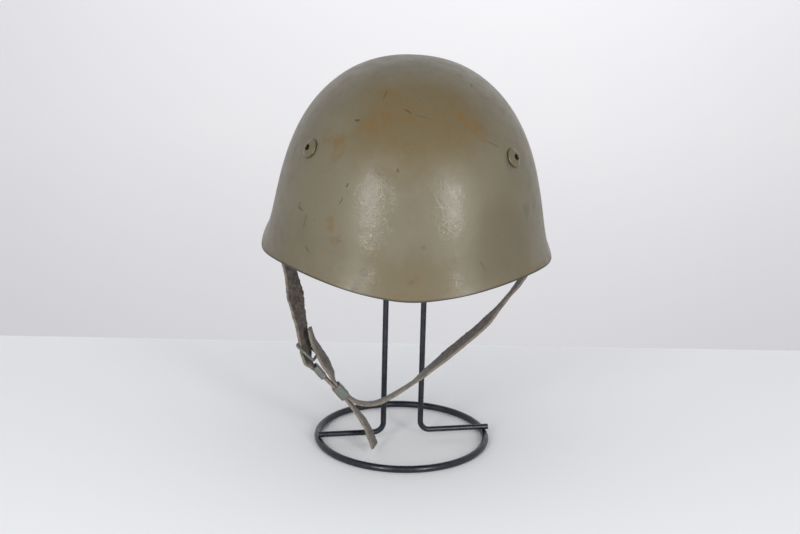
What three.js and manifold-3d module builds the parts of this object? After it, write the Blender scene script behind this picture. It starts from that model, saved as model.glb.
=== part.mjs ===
// A pressed steel helmet with a leather chin strap, resting on a plain wire stand.
// Millimetres, +Z up, the helmet's brow towards -Y. The origin is on the ground under the middle
// of the helmet's box.
import * as THREE from 'three';
import { mergeVertices } from 'three/addons/utils/BufferGeometryUtils.js';
import Module from 'manifold-3d';

const wasm = await Module();
wasm.setup();

// Pieces that touch on the real object keep this gap
const SEAT_GAP = 0.3;

// Helmet shell. Heights run from the mean rim plane, reaches from the shell's upright axis.
const SHELL = {
  wall: 1.2,
  height: 151.0,
  halfWidth: 108.7,
  frontReach: 116.2,
  backReach: 128.7,
  planPower: 2.27,
  shoulderPower: 2.545,
  crownPower: 0.492,
};
// The skirt turns outwards by these amounts at the rim and fades upwards
const FLARE = { side: 11.5, front: 7.9, back: 13.3, fade: 22.5 };
// The rim line rises and falls round the shell: one row per harmonic of the angle
const RIM_WAVE = [
  { harmonic: 1, rise: 2.5 },
  { harmonic: 2, rise: 1.2 },
  { harmonic: 3, rise: -1.0 },
  { harmonic: 4, rise: -4.3 },
];
const SHELL_COLUMNS = 64;
// Heights of the mesh rings as shares of the shell's height, closer together where the skirt turns
const SKIRT_RINGS = [0, 0.012, 0.03, 0.055, 0.085, 0.125, 0.175, 0.24, 0.31];
const DOME_RINGS = 12;
// How the helmet sits on the stand
const HELMET_PLACE = new THREE.Vector3(0.1, -9.3, 178.6);
const BROW_DOWN = THREE.MathUtils.degToRad(8);
const LEAN_RIGHT = THREE.MathUtils.degToRad(1.1);

// Three hollow rivets air the shell, at these angles from the brow
const RIVET_SITES = [
  { name: 'vent_rivet_left', angle: THREE.MathUtils.degToRad(-52.8) },
  { name: 'vent_rivet_right', angle: THREE.MathUtils.degToRad(50.7) },
  { name: 'vent_rivet_back', angle: Math.PI },
];
const RIVET_LEVEL = 0.612;
const RIVET = {
  hole: 2.1,
  tube: 4.0,
  flange: 7.6,
  height: 3.3,
  innerFlange: 6.4,
  innerThick: 1.2,
  innerGap: 0.45,
};
const RIVET_SIDES = 14;
const SHELL_HOLE = RIVET.tube + SEAT_GAP;
const PUNCH_LENGTH = 12;

// Chin strap. Each station has its middle point and the turn of its front edge away from the
// wearer, in degrees. Both halves run from the helmet's own right to its left.
const KEEPER_TURN = -12;
const STRAP = { width: 17, thickness: 2.8, stepsPerSpan: 3 };
const BUCKLE_HALF = [
  { x: -104.3, y: -24.2, z: 208.0, turn: -4 },
  { x: -107.0, y: -24.2, z: 193.5, turn: -4 },
  { x: -105.9, y: -24.6, z: 182.0, turn: 4 },
  { x: -101.2, y: -25.6, z: 168.5, turn: 14 },
  { x: -95.8, y: -27.0, z: 153.5, turn: 25 },
  { x: -91.3, y: -29.0, z: 132.8, turn: 45 },
  { x: -88.8, y: -30.2, z: 120.5, turn: 34 },
  { x: -86.2, y: -31.3, z: 108.0, turn: 24 },
  { x: -83.6, y: -32.5, z: 96.7, turn: 14 },
  { x: -80.6, y: -33.5, z: 86.6, turn: 6 },
  { x: -77.3, y: -34.6, z: 78.4, turn: -5 },
  { x: -75.1, y: -35.5, z: 73.9, turn: KEEPER_TURN },
  { x: -70.8, y: -36.0, z: 69.0, turn: KEEPER_TURN },
  { x: -66.3, y: -36.4, z: 64.1, turn: KEEPER_TURN },
  { x: -58.6, y: -37.0, z: 56.5, turn: KEEPER_TURN },
  { x: -53.7, y: -37.5, z: 51.3, turn: KEEPER_TURN },
  { x: -48.8, y: -38.0, z: 46.1, turn: KEEPER_TURN },
  { x: -40.6, y: -39.5, z: 36.9, turn: -7 },
  { x: -31.6, y: -41.5, z: 25.1, turn: -4 },
  { x: -27.0, y: -43.0, z: 15.4, turn: -4 },
  { x: -23.2, y: -44.5, z: 6.2, turn: -4 },
];
// The long half has its cut end above the lower keeper, and the rest below it
const LONG_HALF_END = [
  { x: -79.2, y: -30.5, z: 104.6, turn: -1 },
  { x: -76.6, y: -31.8, z: 95.5, turn: 1 },
  { x: -71.4, y: -33.5, z: 85.9, turn: 7 },
  { x: -65.9, y: -34.8, z: 76.7, turn: 12 },
  { x: -60.4, y: -36.0, z: 67.2, turn: 3 },
];
// In the lower keeper it lies on the buckle half, beside these stations
const LAYERED_STATIONS = [14, 15, 16];
const LONG_HALF_REST = [
  { x: -39.6, y: -39.0, z: 43.5, turn: -13 },
  { x: -32.9, y: -39.0, z: 41.9, turn: -13 },
  { x: -24.9, y: -39.0, z: 42.2, turn: -13 },
  { x: -17.7, y: -38.5, z: 44.4, turn: -10 },
  { x: -9.4, y: -38.0, z: 48.9, turn: -10 },
  { x: 6.3, y: -37.0, z: 59.5, turn: -12 },
  { x: 18.1, y: -36.0, z: 69.5, turn: -2 },
  { x: 39.6, y: -34.0, z: 88.3, turn: 6 },
  { x: 66.1, y: -32.0, z: 112.3, turn: 5 },
  { x: 80.3, y: -30.0, z: 129.2, turn: -7 },
  { x: 86.4, y: -29.0, z: 137.1, turn: -9 },
  { x: 93.5, y: -28.0, z: 146.6, turn: -3 },
  { x: 99.8, y: -27.0, z: 157.5, turn: 0 },
  { x: 104.8, y: -26.0, z: 170.0, turn: -2 },
  { x: 107.6, y: -24.8, z: 183.0, turn: -4 },
  { x: 107.2, y: -24.2, z: 193.0, turn: -4 },
  { x: 105.1, y: -24.2, z: 207.0, turn: -4 },
];
// Sheet-metal sleeves on the strap: the station at their middle, counted in the list above
const SLEEVE = { wall: 1.2, looseness: 0.35 };
const SLEEVE_SITES = [
  { name: 'strap_anchor_left', half: 'buckle', station: 0.44, length: 10, layers: 1, colour: 0x6b6c60 },
  { name: 'strap_anchor_right', half: 'long', station: 23.56, length: 10, layers: 1, colour: 0x6b6c60 },
  { name: 'strap_keeper_upper', half: 'buckle', station: 12, length: 11.5, layers: 1, colour: 0x6d726c },
  { name: 'strap_keeper_lower', half: 'buckle', station: 15, length: 12, layers: 2, colour: 0x6d726c },
];
// The buckle is a flat wire frame that the strap threads from its inside to its outside
const BUCKLE = { station: 9, wire: 2.4, length: 22.4, window: 18.6, slant: THREE.MathUtils.degToRad(30) };

// Wire stand. Two bent wires stand side by side on the base ring and carry the top ring.
const STAND_X = -0.1;
const RING_Y = -10.7;
const WIRES_Y = -14.6;
const WIRES_HEADING = THREE.MathUtils.degToRad(9.8);
const BASE_RING = { radius: 72.5, wire: 5.8 };
const TOP_RING = { radius: 45, wire: 4.8, clearance: 0.36 };
const STAND_WIRE = { wire: 4.8, spread: 16.2, bend: 8.5 };
const FOOT_REACH = { left: 72.5, right: 76.5 };
const SPOKE_REACH = 47.5;
const WIRE_SIDES = 10;
const RING_STEPS = 48;
const BEND_STEPS = 4;

function standardMaterial(colour, roughness, metalness) {
  return new THREE.MeshStandardMaterial({ color: colour, roughness, metalness });
}

function namedMesh(name, geometry, material) {
  const mesh = new THREE.Mesh(geometry, material);
  mesh.name = name;
  return mesh;
}

// Signed volume of a closed mesh, positive when its faces look outwards
function signedVolume(geometry) {
  const position = geometry.getAttribute('position');
  const index = geometry.getIndex();
  const corners = [new THREE.Vector3(), new THREE.Vector3(), new THREE.Vector3()];
  let volume = 0;
  for (let start = 0; start < index.count; start += 3) {
    corners.forEach((corner, k) => corner.fromBufferAttribute(position, index.getX(start + k)));
    volume += corners[0].dot(corners[1].cross(corners[2])) / 6;
  }
  return volume;
}

// Keeps positions only, merges shared vertices and turns the faces outwards
function closedBody(geometry) {
  geometry.deleteAttribute('normal');
  geometry.deleteAttribute('uv');
  const merged = mergeVertices(geometry, 1e-4);
  if (signedVolume(merged) < 0) {
    const order = Array.from(merged.getIndex().array).reverse();
    merged.setIndex(order);
  }
  return merged;
}

function toManifold(geometry) {
  return new wasm.Manifold(new wasm.Mesh({
    numProp: 3,
    vertProperties: Float32Array.from(geometry.getAttribute('position').array),
    triVerts: Uint32Array.from(geometry.getIndex().array),
  }));
}

function fromManifold(solid) {
  const mesh = solid.getMesh();
  const geometry = new THREE.BufferGeometry();
  geometry.setAttribute('position', new THREE.BufferAttribute(mesh.vertProperties, 3));
  geometry.setIndex(new THREE.BufferAttribute(mesh.triVerts, 1));
  return geometry;
}

// Skins a row of loops that have the same number of corners, and caps both ends
function loft(loops) {
  const corners = loops[0].length;
  const positions = loops.flat().flatMap((point) => [point.x, point.y, point.z]);
  const indices = [];
  for (let row = 0; row + 1 < loops.length; row += 1) {
    for (let k = 0; k < corners; k += 1) {
      const a = row * corners + k;
      const b = row * corners + (k + 1) % corners;
      indices.push(a, b, b + corners, a, b + corners, a + corners);
    }
  }
  const last = (loops.length - 1) * corners;
  for (let k = 1; k + 1 < corners; k += 1) {
    indices.push(0, k + 1, k);
    indices.push(last, last + k, last + k + 1);
  }
  const geometry = new THREE.BufferGeometry();
  geometry.setAttribute('position', new THREE.Float32BufferAttribute(positions, 3));
  geometry.setIndex(indices);
  return closedBody(geometry);
}

// Point of the shell's outer surface at an angle from the brow and a share of the height
function shellPoint(angle, level) {
  const across = Math.sin(angle);
  const ahead = Math.cos(angle);
  const reach = ahead > 0 ? SHELL.frontReach : SHELL.backReach;
  const power = SHELL.planPower;
  const plan = (Math.abs(across / SHELL.halfWidth) ** power + Math.abs(ahead / reach) ** power)
    ** (-1 / power);
  const share = (1 - level ** SHELL.shoulderPower) ** SHELL.crownPower;
  const middle = (FLARE.front + FLARE.back) / 2;
  const flare = FLARE.side + (FLARE.front - FLARE.back) / 2 * ahead
    + (middle - FLARE.side) * ahead ** 2;
  const turnOut = flare * Math.exp(-level * SHELL.height / FLARE.fade);
  const wave = RIM_WAVE.reduce((sum, row) => sum + row.rise * Math.cos(row.harmonic * angle), 0);
  const radius = (plan + turnOut) * share;
  return new THREE.Vector3(
    across * radius,
    -ahead * radius,
    level * SHELL.height + wave * (1 - level) ** 2,
  );
}

// Outward normal from two short steps on the surface
function shellNormal(angle, level) {
  const step = 1e-4;
  const low = Math.max(level - step, 0);
  const high = Math.min(level + step, 1 - step);
  const round = shellPoint(angle + step, level).sub(shellPoint(angle - step, level));
  const up = shellPoint(angle, high).sub(shellPoint(angle, low));
  return round.cross(up).normalize();
}

function shellLevels() {
  const start = SKIRT_RINGS[SKIRT_RINGS.length - 1];
  const levels = [...SKIRT_RINGS];
  for (let ring = 1; ring < DOME_RINGS; ring += 1) {
    const swing = (ring / DOME_RINGS) * (Math.PI / 2);
    levels.push(start + (1 - start) * Math.sin(swing));
  }
  return levels;
}

// The wall is lofted from the outer crown over the rim to the inner crown
function shellWall() {
  const levels = shellLevels();
  const loopAt = (level, depth) => Array.from({ length: SHELL_COLUMNS }, (_, column) => {
    const angle = (column / SHELL_COLUMNS) * 2 * Math.PI;
    return shellPoint(angle, level).addScaledVector(shellNormal(angle, level), -depth);
  });
  const outside = [...levels].reverse().map((level) => loopAt(level, 0));
  const inside = levels.map((level) => loopAt(level, SHELL.wall));
  return loft([...outside, ...inside]);
}

// Local frame of a rivet: origin on the outer surface, local Y along the outward normal
function rivetPlace(angle) {
  const normal = shellNormal(angle, RIVET_LEVEL);
  const turn = new THREE.Quaternion().setFromUnitVectors(new THREE.Vector3(0, 1, 0), normal);
  return { position: shellPoint(angle, RIVET_LEVEL), quaternion: turn };
}

function helmetShell() {
  let solid = toManifold(shellWall());
  const punch = new THREE.CylinderGeometry(SHELL_HOLE, SHELL_HOLE, PUNCH_LENGTH, RIVET_SIDES);
  RIVET_SITES.forEach(({ angle }) => {
    const { position, quaternion } = rivetPlace(angle);
    const placed = punch.clone().applyQuaternion(quaternion);
    placed.translate(position.x, position.y, position.z);
    solid = solid.subtract(toManifold(closedBody(placed)));
  });
  return namedMesh('helmet_shell', fromManifold(solid), standardMaterial(0x746d5b, 0.5, 0.2));
}

// Domed outer head with a hole at its top, hollow tube through the wall and a flat flange inside
function ventRivet({ name, angle }) {
  const inside = -SHELL.wall - RIVET.innerGap;
  const innerEnd = inside - RIVET.innerThick;
  const profile = [
    [RIVET.hole, innerEnd],
    [RIVET.innerFlange, innerEnd],
    [RIVET.innerFlange, inside - 0.3],
    [RIVET.tube, inside - 0.2],
    [RIVET.tube, SEAT_GAP],
    [RIVET.flange - 0.4, SEAT_GAP],
    [RIVET.flange, SEAT_GAP + 0.5],
    [RIVET.flange - 0.8, SEAT_GAP + 1.1],
    [RIVET.flange - 2.0, RIVET.height - 1.1],
    [RIVET.flange - 3.4, RIVET.height - 0.35],
    [RIVET.hole + 0.9, RIVET.height],
    [RIVET.hole + 0.3, RIVET.height - 0.1],
    [RIVET.hole, RIVET.height - 0.5],
    [RIVET.hole, innerEnd],
  ].map(([radius, height]) => new THREE.Vector2(radius, height));
  const geometry = closedBody(new THREE.LatheGeometry(profile, RIVET_SIDES));
  const mesh = namedMesh(name, geometry, standardMaterial(0x7c7868, 0.45, 0.4));
  const { position, quaternion } = rivetPlace(angle);
  mesh.position.copy(position);
  mesh.quaternion.copy(quaternion);
  return mesh;
}

// A strap half as a smooth curve with its turn at every point
function strapLine(stations) {
  const curve = new THREE.CatmullRomCurve3(
    stations.map(({ x, y, z }) => new THREE.Vector3(x, y, z)),
    false,
    'centripetal',
  );
  const spans = stations.length - 1;
  const frameAt = (station) => {
    const along = curve.getTangent(station / spans);
    const below = Math.min(Math.floor(station), spans - 1);
    const mix = THREE.MathUtils.smoothstep(station - below, 0, 1);
    const turn = THREE.MathUtils.degToRad(
      THREE.MathUtils.lerp(stations[below].turn, stations[below + 1].turn, mix),
    );
    const ahead = new THREE.Vector3(0, -1, 0);
    ahead.addScaledVector(along, -ahead.dot(along)).normalize();
    const inward = ahead.clone().cross(along);
    const front = ahead.clone().multiplyScalar(Math.cos(turn)).addScaledVector(inward, -Math.sin(turn));
    return { centre: curve.getPoint(station / spans), along, front, inward: front.clone().cross(along) };
  };
  return { spans, frameAt };
}

// The station one layer further in than a station of another strap half
function layeredStation(line, station) {
  const { centre, inward } = line.frameAt(station);
  const { x, y, z } = centre.addScaledVector(inward, STRAP.thickness + SLEEVE.looseness);
  return { x, y, z, turn: KEEPER_TURN };
}

function strapBody(name, line) {
  const steps = line.spans * STRAP.stepsPerSpan;
  const halfWidth = STRAP.width / 2;
  const halfThick = STRAP.thickness / 2;
  const corners = [[1, 1], [-1, 1], [-1, -1], [1, -1]];
  const loops = Array.from({ length: steps + 1 }, (_, step) => {
    const { centre, front, inward } = line.frameAt(step / STRAP.stepsPerSpan);
    return corners.map(([wide, deep]) => centre.clone()
      .addScaledVector(front, wide * halfWidth)
      .addScaledVector(inward, deep * halfThick));
  });
  return namedMesh(name, loft(loops), standardMaterial(0x645c54, 0.9, 0));
}

// Flat rectangle with a rectangular window, its depth along local Z
function windowedPlate(outerX, outerY, innerX, innerY, depth) {
  const shape = new THREE.Shape();
  shape.moveTo(-outerX / 2, -outerY / 2);
  shape.lineTo(outerX / 2, -outerY / 2);
  shape.lineTo(outerX / 2, outerY / 2);
  shape.lineTo(-outerX / 2, outerY / 2);
  shape.closePath();
  const window = new THREE.Path();
  window.moveTo(-innerX / 2, -innerY / 2);
  window.lineTo(-innerX / 2, innerY / 2);
  window.lineTo(innerX / 2, innerY / 2);
  window.lineTo(innerX / 2, -innerY / 2);
  window.closePath();
  shape.holes.push(window);
  const geometry = new THREE.ExtrudeGeometry(shape, { depth, bevelEnabled: false });
  geometry.translate(0, 0, -depth / 2);
  return closedBody(geometry);
}

function placeOnAxes(mesh, centre, xAxis, yAxis, zAxis) {
  mesh.quaternion.setFromRotationMatrix(new THREE.Matrix4().makeBasis(xAxis, yAxis, zAxis));
  mesh.position.copy(centre);
  return mesh;
}

function strapSleeve({ name, station, length, layers, colour }, line) {
  const { centre, front, inward } = line.frameAt(station);
  const innerThick = layers * (STRAP.thickness + SLEEVE.looseness) + SLEEVE.looseness;
  const innerWide = STRAP.width + 2 * SLEEVE.looseness;
  const geometry = windowedPlate(
    innerWide + 2 * SLEEVE.wall,
    innerThick + 2 * SLEEVE.wall,
    innerWide,
    innerThick,
    length,
  );
  const shift = (layers - 1) * (STRAP.thickness + SLEEVE.looseness) / 2;
  const middle = centre.clone().addScaledVector(inward, shift);
  const mesh = namedMesh(name, geometry, standardMaterial(colour, 0.55, 0.3));
  return placeOnAxes(mesh, middle, front, inward, front.clone().cross(inward));
}

function strapBuckle(line) {
  const { centre, along, front, inward } = line.frameAt(BUCKLE.station);
  const geometry = windowedPlate(
    BUCKLE.window + 2 * BUCKLE.wire,
    BUCKLE.length,
    BUCKLE.window,
    BUCKLE.length - 2 * BUCKLE.wire,
    BUCKLE.wire,
  );
  const lengthways = along.clone().multiplyScalar(Math.cos(BUCKLE.slant))
    .addScaledVector(inward, Math.sin(BUCKLE.slant));
  const mesh = namedMesh('strap_buckle', geometry, standardMaterial(0x66706a, 0.5, 0.4));
  return placeOnAxes(mesh, centre, front, lengthways, front.clone().cross(lengthways));
}

// Corners of a wire's section, with a flat side below, as across and up distances
function wireSection(diameter) {
  return Array.from({ length: WIRE_SIDES }, (_, k) => {
    const angle = ((k + 0.5) / WIRE_SIDES) * 2 * Math.PI - Math.PI / 2;
    return { across: Math.cos(angle) * diameter / 2, up: Math.sin(angle) * diameter / 2 };
  });
}

function flatSideHeight(diameter) {
  return Math.cos(Math.PI / WIRE_SIDES) * diameter / 2;
}

function wireRing(name, { radius, wire }, x, y, z) {
  const profile = wireSection(wire).map(({ across, up }) => new THREE.Vector2(radius + across, up));
  profile.push(profile[0].clone());
  const turned = new THREE.LatheGeometry(profile, RING_STEPS).rotateX(Math.PI / 2);
  const mesh = namedMesh(name, closedBody(turned), standardMaterial(0x2b2f36, 0.35, 0.3));
  mesh.position.set(x, y, z);
  return mesh;
}

// A foot along the ground, an upright and a spoke, bent from one wire in one upright plane
function standWire(name, side, footReach, footZ, spokeZ) {
  const { spread, bend, wire } = STAND_WIRE;
  const route = new THREE.Path();
  route.moveTo(footReach, footZ);
  route.lineTo(spread + bend, footZ);
  route.absarc(spread + bend, footZ + bend, bend, -Math.PI / 2, -Math.PI, true);
  route.lineTo(spread, spokeZ - bend);
  route.absarc(spread + bend, spokeZ - bend, bend, Math.PI, Math.PI / 2, true);
  route.lineTo(SPOKE_REACH, spokeZ);
  const points = route.getPoints(BEND_STEPS).filter(
    (point, k, all) => k === 0 || point.distanceTo(all[k - 1]) > 1e-6,
  );
  const section = wireSection(wire);
  const loops = points.map((point, k) => {
    const before = points[Math.max(k - 1, 0)];
    const after = points[Math.min(k + 1, points.length - 1)];
    const along = after.clone().sub(before).normalize();
    return section.map(({ across, up }) => new THREE.Vector3(
      side * (point.x - along.y * up),
      across,
      point.y + along.x * up,
    ));
  });
  const mesh = namedMesh(name, loft(loops), standardMaterial(0x30363c, 0.3, 0.3));
  mesh.rotation.z = WIRES_HEADING;
  mesh.position.set(STAND_X, WIRES_Y, 0);
  return mesh;
}

// Height at which the top ring stands its clearance under the inside of the shell
function topRingHeight(shell) {
  const caster = new THREE.Raycaster();
  const up = new THREE.Vector3(0, 0, 1);
  const start = HELMET_PLACE.z;
  let least = Infinity;
  for (let step = 0; step < RING_STEPS; step += 1) {
    const angle = (step / RING_STEPS) * 2 * Math.PI;
    for (const { across, up: rise } of wireSection(TOP_RING.wire)) {
      const reach = TOP_RING.radius + across;
      const x = STAND_X + Math.cos(angle) * reach;
      const y = WIRES_Y + Math.sin(angle) * reach;
      caster.set(new THREE.Vector3(x, y, start), up);
      const [hit] = caster.intersectObject(shell);
      least = Math.min(least, start + hit.distance - rise);
    }
  }
  return least - TOP_RING.clearance;
}

const object = new THREE.Group();

const helmet = new THREE.Group();
helmet.position.copy(HELMET_PLACE);
helmet.rotation.set(BROW_DOWN, LEAN_RIGHT, 0, 'YXZ');
const shell = helmetShell();
helmet.add(shell);
RIVET_SITES.forEach((site) => helmet.add(ventRivet(site)));
object.add(helmet);
object.updateMatrixWorld(true);

const buckleLine = strapLine(BUCKLE_HALF);
const layered = LAYERED_STATIONS.map((station) => layeredStation(buckleLine, station));
const strapLines = {
  buckle: buckleLine,
  long: strapLine([...LONG_HALF_END, ...layered, ...LONG_HALF_REST]),
};
object.add(strapBody('chin_strap_buckle_half', strapLines.buckle));
object.add(strapBody('chin_strap_long_half', strapLines.long));
SLEEVE_SITES.forEach((site) => object.add(strapSleeve(site, strapLines[site.half])));
object.add(strapBuckle(strapLines.buckle));

const baseRingZ = flatSideHeight(BASE_RING.wire);
const footZ = 2 * baseRingZ + SEAT_GAP + flatSideHeight(STAND_WIRE.wire);
const topRingZ = topRingHeight(shell);
const spokeZ = topRingZ - flatSideHeight(TOP_RING.wire) - SEAT_GAP - flatSideHeight(STAND_WIRE.wire);
object.add(wireRing('stand_base_ring', BASE_RING, STAND_X, RING_Y, baseRingZ));
object.add(wireRing('stand_top_ring', TOP_RING, STAND_X, WIRES_Y, topRingZ));
object.add(standWire('stand_wire_left', -1, FOOT_REACH.left, footZ, spokeZ));
object.add(standWire('stand_wire_right', 1, FOOT_REACH.right, footZ, spokeZ));

export default object;
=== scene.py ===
import math

import bpy
import numpy as np
from bpy.props import FloatProperty, FloatVectorProperty, IntProperty, PointerProperty
from mathutils import Euler, Matrix, Vector


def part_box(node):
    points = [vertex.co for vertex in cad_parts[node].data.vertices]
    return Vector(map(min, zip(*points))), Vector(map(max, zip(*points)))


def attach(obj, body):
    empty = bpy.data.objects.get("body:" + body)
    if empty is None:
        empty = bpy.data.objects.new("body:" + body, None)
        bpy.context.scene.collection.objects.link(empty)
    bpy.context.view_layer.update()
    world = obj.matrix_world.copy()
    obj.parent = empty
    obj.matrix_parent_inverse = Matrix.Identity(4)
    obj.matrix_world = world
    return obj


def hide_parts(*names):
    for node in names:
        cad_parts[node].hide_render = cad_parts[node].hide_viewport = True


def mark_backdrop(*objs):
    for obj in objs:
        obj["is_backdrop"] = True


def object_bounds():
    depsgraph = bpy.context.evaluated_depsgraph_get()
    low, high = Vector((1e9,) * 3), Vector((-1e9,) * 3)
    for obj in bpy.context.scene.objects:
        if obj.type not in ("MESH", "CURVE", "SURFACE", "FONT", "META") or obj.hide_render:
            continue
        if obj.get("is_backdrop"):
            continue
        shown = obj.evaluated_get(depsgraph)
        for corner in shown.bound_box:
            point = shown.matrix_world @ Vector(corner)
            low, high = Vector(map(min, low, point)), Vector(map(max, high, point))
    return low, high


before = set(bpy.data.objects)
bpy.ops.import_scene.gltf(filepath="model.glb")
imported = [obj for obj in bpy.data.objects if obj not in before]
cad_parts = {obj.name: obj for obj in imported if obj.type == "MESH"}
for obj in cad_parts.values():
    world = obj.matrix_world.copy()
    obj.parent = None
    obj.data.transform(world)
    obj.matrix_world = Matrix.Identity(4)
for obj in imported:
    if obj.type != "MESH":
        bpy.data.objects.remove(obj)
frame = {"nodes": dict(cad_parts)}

bl_info = {
    "name": "Steel helmet on a wire stand",
    "version": (1, 0, 0),
    "blender": (4, 5, 0),
    "location": "3D View > Sidebar > Helmet",
    "description": "Builds a worn steel helmet with a leather chin strap on a plain wire stand",
    "category": "Object",
}

MM = 0.001
BODY = "root"

# Where the helmet sits: its rim plane's centre, with the brow down and a slight lean
HELMET_PLACE = Vector((0.1, -9.3, 178.6)) * MM
HELMET_TURN = Euler((math.radians(8), math.radians(1.1), 0), "XYZ")
# Rise of the rim line for each harmonic of the angle from the brow
RIM_WAVE = ((1, 2.5), (2, 1.2), (3, -1.0), (4, -4.3))
PLAN_POWER = 2.27
SHOULDER_POWER = 2.545
CROWN_POWER = 0.492
FLARE = {"side": 11.5, "front": 7.9, "back": 13.3, "fade": 22.5}
# Depths in metres: the slight point of the brow's edge, slow waves and soft dents
BROW_POINT = 0.0009
WAVE_DEPTH = 0.0009
DENT_DEPTH = 0.0005

RIVET_SITES = {"vent_rivet_left": -52.8, "vent_rivet_right": 50.7, "vent_rivet_back": 180}
RIVET_LEVEL = 0.612
# Radius of the hole under a rivet and length of its punch in mm, and sides of a rivet's mesh
RIVET_HOLE = 4.3
PUNCH_LENGTH = 12
RIVET_SIDES = 64
SEAT_GAP = 0.3

# Strap stations in mm: x, y, z and the turn of the front edge in degrees
KEEPER_TURN = -12
BUCKLE_HALF = (
    (-104.3, -24.2, 208.0, -4), (-107.0, -24.2, 193.5, -4), (-105.9, -24.6, 182.0, 4),
    (-101.2, -25.6, 168.5, 14), (-95.8, -27.0, 153.5, 25), (-91.3, -29.0, 132.8, 45),
    (-88.8, -30.2, 120.5, 34), (-86.2, -31.3, 108.0, 24), (-83.6, -32.5, 96.7, 14),
    (-80.6, -33.5, 86.6, 6), (-77.3, -34.6, 78.4, -5), (-75.1, -35.5, 73.9, KEEPER_TURN),
    (-70.8, -36.0, 69.0, KEEPER_TURN), (-66.3, -36.4, 64.1, KEEPER_TURN),
    (-58.6, -37.0, 56.5, KEEPER_TURN), (-53.7, -37.5, 51.3, KEEPER_TURN),
    (-48.8, -38.0, 46.1, KEEPER_TURN), (-40.6, -39.5, 36.9, -7), (-31.6, -41.5, 25.1, -4),
    (-27.0, -43.0, 15.4, -4), (-23.2, -44.5, 6.2, -4),
)
LONG_HALF_END = (
    (-79.2, -30.5, 104.6, -1), (-76.6, -31.8, 95.5, 1), (-71.4, -33.5, 85.9, 7),
    (-65.9, -34.8, 76.7, 12), (-60.4, -36.0, 67.2, 3),
)
LAYERED_STATIONS = (14, 15, 16)
LONG_HALF_REST = (
    (-39.6, -39.0, 43.5, -13), (-32.9, -39.0, 41.9, -13), (-24.9, -39.0, 42.2, -13),
    (-17.7, -38.5, 44.4, -10), (-9.4, -38.0, 48.9, -10), (6.3, -37.0, 59.5, -12),
    (18.1, -36.0, 69.5, -2), (39.6, -34.0, 88.3, 6), (66.1, -32.0, 112.3, 5),
    (80.3, -30.0, 129.2, -7), (86.4, -29.0, 137.1, -9), (93.5, -28.0, 146.6, -3),
    (99.8, -27.0, 157.5, 0), (104.8, -26.0, 170.0, -2), (107.6, -24.8, 183.0, -4),
    (107.2, -24.2, 193.0, -4), (105.1, -24.2, 207.0, -4),
)
# Strap: corner radius and cup of its section in mm, and rows of its mesh for each station
STRAP_CORNER = 0.6
STRAP_STEPS = 14
STRAP_CUP = 0.18
SLEEVE_WALL = 1.2
SLEEVE_ROLL = 0.35
SLEEVE_LOOSENESS = 0.35
# The leather bows and twists at these stations of the buckle half: shift in mm and turn in degrees
BUCKLE_BOW = {
    8: (-0.4, 0, 0, 8), 9: (-1.4, 0, -0.4, 18), 10: (-2.9, 0, -0.9, 18), 11: (-1.4, 0, -0.8, 6),
    18: (0, 0, 0, 6), 19: (0, 0, 0, 11), 20: (0, 0, 0, 13),
}
# Sleeves on the strap: half, middle station, length in mm and layers held
SLEEVES = {
    "strap_anchor_left": ("buckle", 0.44, 10, 1),
    "strap_anchor_right": ("long", 23.56, 10, 1),
    "strap_keeper_upper": ("buckle", 12, 11.5, 1),
    "strap_keeper_lower": ("buckle", 15, 12, 2),
}
BUCKLE = {
    "station": 9,
    "wire": 2.4,
    "length": 20.4,
    "window": 18.6,
    "corner": 2.6,
    "slant": 30,
}

STAND_CENTRE = (-0.1, -10.7)
WIRES_CENTRE = (-0.1, -14.6)
WIRES_HEADING = math.radians(9.8)
WIRE_SPREAD = 16.2
WIRE_BEND = 8.5
FOOT_REACH = {"left": 72.5, "right": 76.5}
SPOKE_REACH = 47.5
WIRE_SIDES = 28

CAMERA_PLACE = Vector((-22.46, -1020.84, 426.86)) * MM
CAMERA_RIGHT = Vector((0.99965, -0.01089, 0.02392))
CAMERA_UP = Vector((-0.02024, 0.26142, 0.96501))
CAMERA_BACK = Vector((-0.01676, -0.96516, 0.26111))
CAMERA_LENS = 56.25
# The floor ends behind the stand, and the wall stands far enough back for a view from behind
FLOOR_END = 0.246
WALL_PLACE = 2.2
STAGE_WIDE = 3.0
STAGE_FRONT = -2.5
WALL_FOOT = -2.0
WALL_TOP = 3.0


def srgb(red, green, blue):
    """Linear colour of a tone given as screen levels from 0 to 255."""
    levels = [value / 255 for value in (red, green, blue)]
    return tuple(
        level / 12.92 if level <= 0.04045 else ((level + 0.055) / 1.055) ** 2.4
        for level in levels
    )


def length(name, description, default):
    """A length property, given in mm and kept in metres."""
    return FloatProperty(
        name=name, description=description, default=default * MM, min=0, unit="LENGTH", precision=5
    )


def colour(name, description, *levels):
    """A colour property, given as screen levels and kept linear."""
    return FloatVectorProperty(
        name=name, description=description, default=srgb(*levels), min=0, max=1, subtype="COLOR"
    )


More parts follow.
